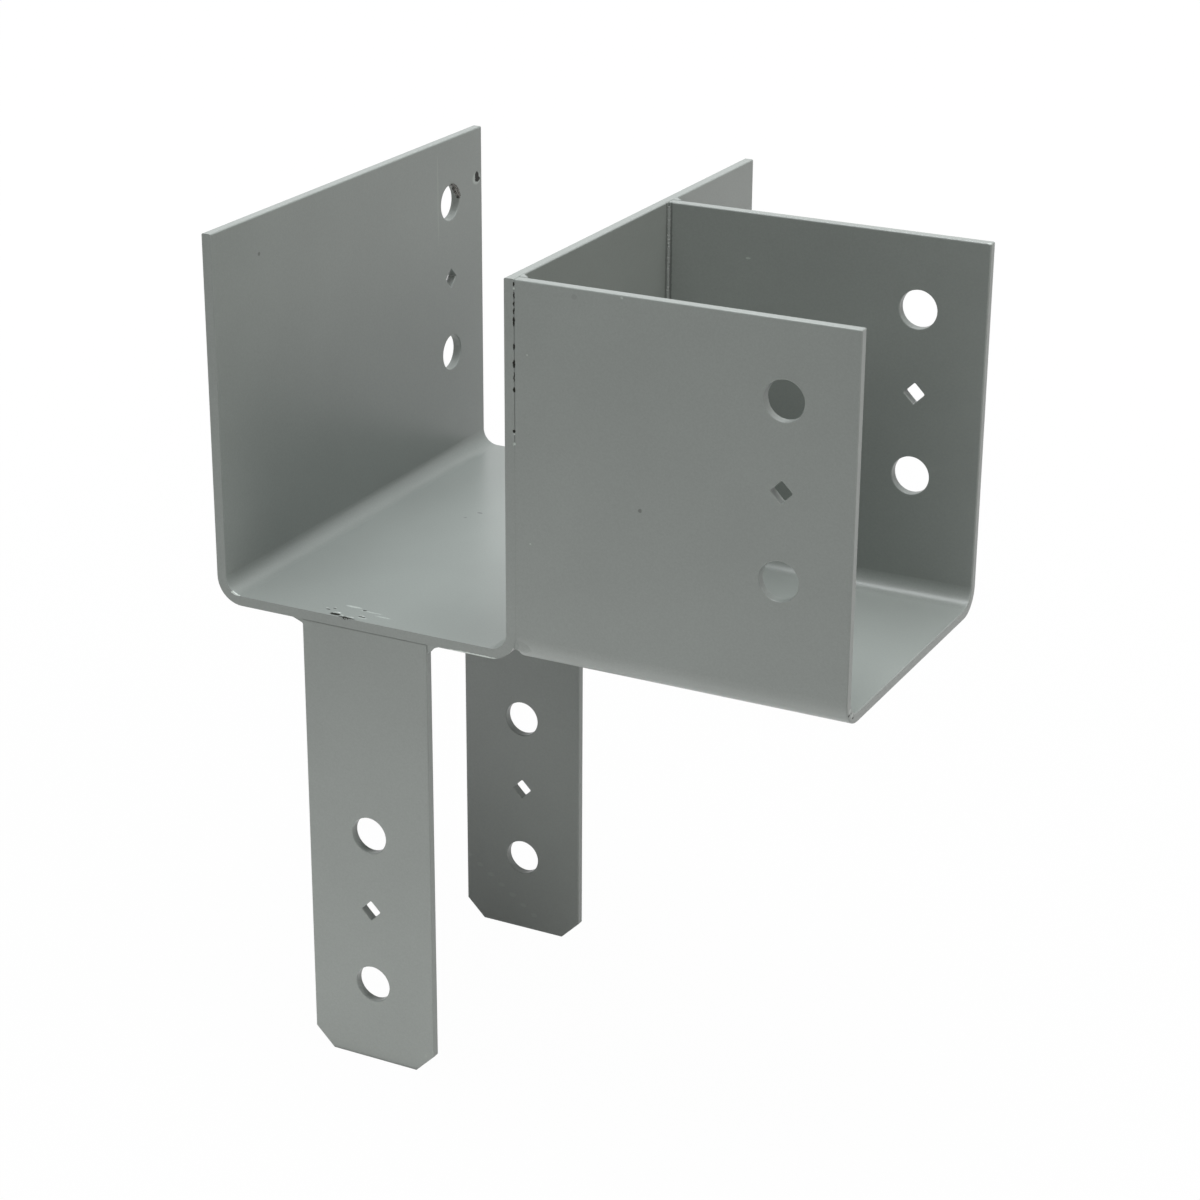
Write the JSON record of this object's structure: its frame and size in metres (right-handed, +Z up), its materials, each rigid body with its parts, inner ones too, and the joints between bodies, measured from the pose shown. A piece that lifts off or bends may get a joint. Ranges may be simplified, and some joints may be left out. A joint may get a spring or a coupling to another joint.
{
  "type": "column end cap",
  "caption": "Welded steel end cap that seats a beam end on a column, with a side saddle for a second beam and straps that bolt to the column.",
  "frame": {"origin": "on the column's axis, at the underside of the main saddle where the column bears", "axes": "+Z up, +Y along the main beam away from the open front edge, +X towards the side beam"},
  "size_m": [0.3044, 0.2365, 0.3856],
  "materials": {
    "grey_paint": "satin grey shop paint on hot rolled steel plate",
    "weld_paint": "the same grey paint over weld beads"
  },
  "bodies": {
    "root": {"main_saddle": "grey_paint", "side_saddle": "grey_paint", "front_strap": "grey_paint", "rear_strap": "grey_paint", "front_strap_weld": "weld_paint", "rear_strap_weld": "weld_paint", "front_corner_weld": "weld_paint", "rear_corner_weld": "weld_paint", "rear_inner_weld": "weld_paint", "front_cusp_weld": "weld_paint", "rear_cusp_weld": "weld_paint", "seat_groove_weld": "weld_paint"}
  },
  "joints": []
}
